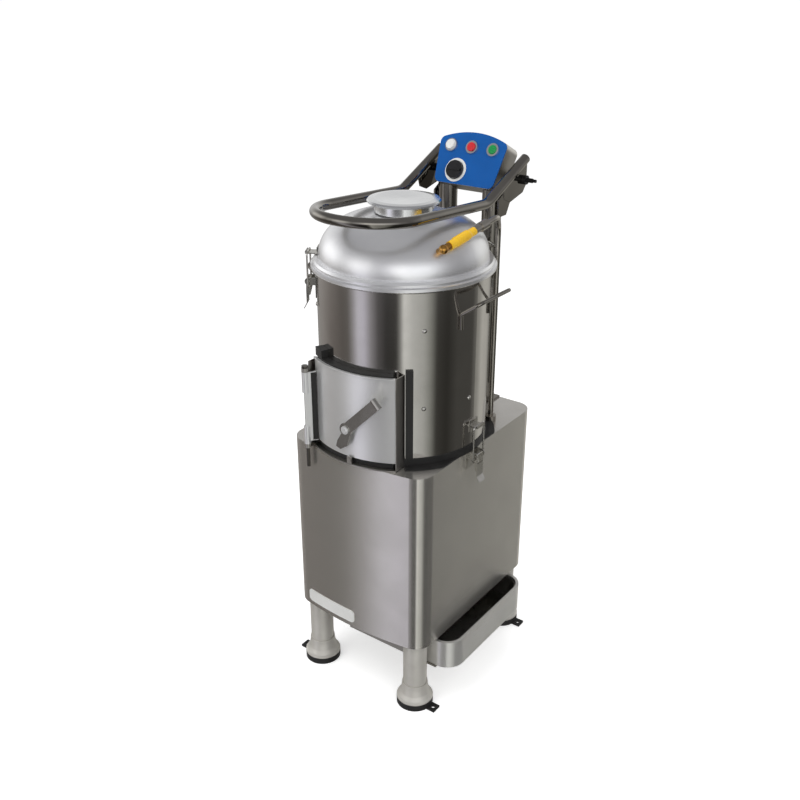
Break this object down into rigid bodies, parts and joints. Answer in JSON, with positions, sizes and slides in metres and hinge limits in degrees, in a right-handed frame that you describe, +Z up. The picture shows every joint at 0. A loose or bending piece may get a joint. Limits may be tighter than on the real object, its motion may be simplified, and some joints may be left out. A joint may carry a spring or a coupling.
{
  "type": "electric potato peeler",
  "caption": "Floor-standing electric potato peeler: drum with abrasive disc, domed lid, safety bail, unloading door, peel drawer and tilted control panel.",
  "frame": {"origin": "centre of the four floor fixing holes, on the floor plane", "axes": "+Z up, -Y towards the user's side with the unloading door, +X to the user's right"},
  "size_m": [0.456, 0.5488, 1.2308],
  "materials": {
    "brushed_body": "brushed stainless sheet",
    "polished_drum": "polished stainless",
    "satin_lid": "spun satin aluminium",
    "tube_steel": "polished tube",
    "zinc_steel": "plated catch parts",
    "black_rubber": "moulded rubber",
    "black_plastic": "moulded nylon",
    "blue_panel": "blue enamelled fascia",
    "white_lens": "translucent white lens",
    "red_button": "red button",
    "green_button": "green button",
    "chrome_bezel": "bright bezel",
    "white_ring": "white dial ring",
    "yellow_plastic": "yellow hose coupling",
    "brass": "turned brass",
    "white_plastic": "badge plate",
    "motor_paint": "grey motor paint",
    "cast": "cast housing",
    "abrasive": "carborundum grit",
    "frame_steel": "folded stainless"
  },
  "bodies": {
    "root": {"leg_tubes": "tube_steel", "foot_flares": "tube_steel", "foot_pads": "black_rubber", "cabinet_shell": "brushed_body", "rear_cover": "brushed_body", "badge_plate": "white_plastic", "base_frame": "frame_steel", "motor": "motor_paint", "drive_belt": "black_rubber", "bearing_housing": "cast", "bearings": "zinc_steel", "shaft_seal": "black_rubber", "drum_wall": "polished_drum", "abrasive_liner": "abrasive", "dome_head_screws": "zinc_steel", "plinth_ring": "black_rubber", "drain_pipe": "black_plastic", "carry_handle_right": "tube_steel", "carry_handle_left": "tube_steel", "door_gasket": "black_rubber", "chute_frame": "frame_steel", "hinge_pin": "zinc_steel", "dome_lid": "satin_lid", "lid_gasket": "black_rubber", "water_nipple": "brass", "quick_coupling": "yellow_plastic", "supply_pipe": "tube_steel", "inlet_valve": "brass", "cable_gland": "black_plastic", "panel_box": "brushed_body", "blue_fascia": "blue_panel", "button_bezels": "chrome_bezel", "pilot_lamp": "white_lens", "timer_ring": "white_ring", "contact_blocks": "black_plastic", "control_posts": "tube_steel", "pivot_bolts": "black_plastic", "latch_bases": "zinc_steel", "latch_hooks": "zinc_steel"},
    "bail": {"safety_bail": "tube_steel"},
    "cap": {"feed_cap": "satin_lid"},
    "door": {"door_panel": "satin_lid"},
    "lever": {"door_lever": "frame_steel"},
    "stop": {"stop_button": "red_button"},
    "start": {"start_button": "green_button"},
    "timer": {"timer_knob": "black_plastic"},
    "drawer": {"peel_drawer": "brushed_body", "strainer_basket": "frame_steel"},
    "disc": {"abrasive_disc": "abrasive", "main_shaft": "zinc_steel", "driven_pulley": "cast"},
    "motor_rotor": {"motor_pulley": "cast"},
    "drum_latch_right_lever": {"drum_latch_right_lever": "zinc_steel"},
    "drum_latch_right_loop": {"drum_latch_right_loop": "zinc_steel"},
    "drum_latch_left_lever": {"drum_latch_left_lever": "zinc_steel"},
    "drum_latch_left_loop": {"drum_latch_left_loop": "zinc_steel"},
    "lid_latch_front_lever": {"lid_latch_front_lever": "zinc_steel"},
    "lid_latch_front_loop": {"lid_latch_front_loop": "zinc_steel"},
    "lid_latch_rear_lever": {"lid_latch_rear_lever": "zinc_steel"},
    "lid_latch_rear_loop": {"lid_latch_rear_loop": "zinc_steel"}
  },
  "joints": [
    {"name": "bail_lift", "type": "hinge", "parent": "root", "child": "bail", "pos_m": [0, 0.243, 1.138], "axis": [-1, 0, 0], "range_deg": [0, 75]},
    {"name": "cap_lift", "type": "slide", "parent": "root", "child": "cap", "axis": [0, 0, 1], "range_m": [0, 0.12]},
    {"name": "door_swing", "type": "hinge", "parent": "root", "child": "door", "pos_m": [-0.112, -0.249, 0.71], "axis": [0, 0, -1], "range_deg": [0, 100]},
    {"name": "lever_turn", "type": "hinge", "parent": "door", "child": "lever", "pos_m": [0.0107, -0.2651, 0.6975], "axis": [0, 1, 0], "range_deg": [0, 90]},
    {"name": "stop_press", "type": "slide", "parent": "root", "child": "stop", "axis": [0, 0.9003, -0.4352], "range_m": [0, 0.003], "stiffness_N_per_m": 600},
    {"name": "start_press", "type": "slide", "parent": "root", "child": "start", "axis": [0, 0.9003, -0.4352], "range_m": [0, 0.003], "stiffness_N_per_m": 600},
    {"name": "timer_turn", "type": "hinge", "parent": "root", "child": "timer", "pos_m": [-0.027, 0.18649, 1.15091], "axis": [0, -0.9003, 0.4352], "range_deg": [-300, 0]},
    {"name": "drawer_slide", "type": "slide", "parent": "root", "child": "drawer", "axis": [1, 0, 0], "range_m": [0, 0.19]},
    {"name": "disc_spin", "type": "hinge", "parent": "root", "child": "disc", "pos_m": [0, -0.049, 0.652], "axis": [0, 0, 1], "continuous": true},
    {"name": "motor_spin", "type": "hinge", "parent": "root", "child": "motor_rotor", "pos_m": [0, 0.128, 0.49], "axis": [0, 0, 1], "continuous": true},
    {"name": "drum_latch_right_throw", "type": "hinge", "parent": "root", "child": "drum_latch_right_lever", "pos_m": [0.1995, -0.049, 0.606], "axis": [0, -1, 0], "range_deg": [0, 100]},
    {"name": "drum_latch_right_swing", "type": "hinge", "parent": "drum_latch_right_lever", "child": "drum_latch_right_loop", "pos_m": [0.1995, -0.049, 0.594], "axis": [0, -1, 0], "range_deg": [-90, 10]},
    {"name": "drum_latch_left_throw", "type": "hinge", "parent": "root", "child": "drum_latch_left_lever", "pos_m": [-0.1995, -0.049, 0.606], "axis": [0, 1, 0], "range_deg": [0, 100]},
    {"name": "drum_latch_left_swing", "type": "hinge", "parent": "drum_latch_left_lever", "child": "drum_latch_left_loop", "pos_m": [-0.1995, -0.049, 0.594], "axis": [0, 1, 0], "range_deg": [-90, 10]},
    {"name": "lid_latch_front_throw", "type": "hinge", "parent": "root", "child": "lid_latch_front_lever", "pos_m": [-0.17375, -0.1534, 0.957], "axis": [-0.515, 0.8572, 0], "range_deg": [0, 100]},
    {"name": "lid_latch_front_swing", "type": "hinge", "parent": "lid_latch_front_lever", "child": "lid_latch_front_loop", "pos_m": [-0.17375, -0.1534, 0.945], "axis": [-0.515, 0.8572, 0], "range_deg": [-90, 10]},
    {"name": "lid_latch_rear_throw", "type": "hinge", "parent": "root", "child": "lid_latch_rear_lever", "pos_m": [0.11335, 0.11905, 0.957], "axis": [0.829, -0.5592, 0], "range_deg": [0, 100]},
    {"name": "lid_latch_rear_swing", "type": "hinge", "parent": "lid_latch_rear_lever", "child": "lid_latch_rear_loop", "pos_m": [0.11335, 0.11905, 0.945], "axis": [0.829, -0.5592, 0], "range_deg": [-90, 10]}
  ],
  "couplings": [
    {"joint": "motor_spin", "follows": "disc_spin", "ratio": 3.2667},
    {"joint": "drum_latch_right_swing", "follows": "drum_latch_right_throw", "ratio": -0.844},
    {"joint": "drum_latch_left_swing", "follows": "drum_latch_left_throw", "ratio": -0.844},
    {"joint": "lid_latch_front_swing", "follows": "lid_latch_front_throw", "ratio": -0.844},
    {"joint": "lid_latch_rear_swing", "follows": "lid_latch_rear_throw", "ratio": -0.844}
  ]
}
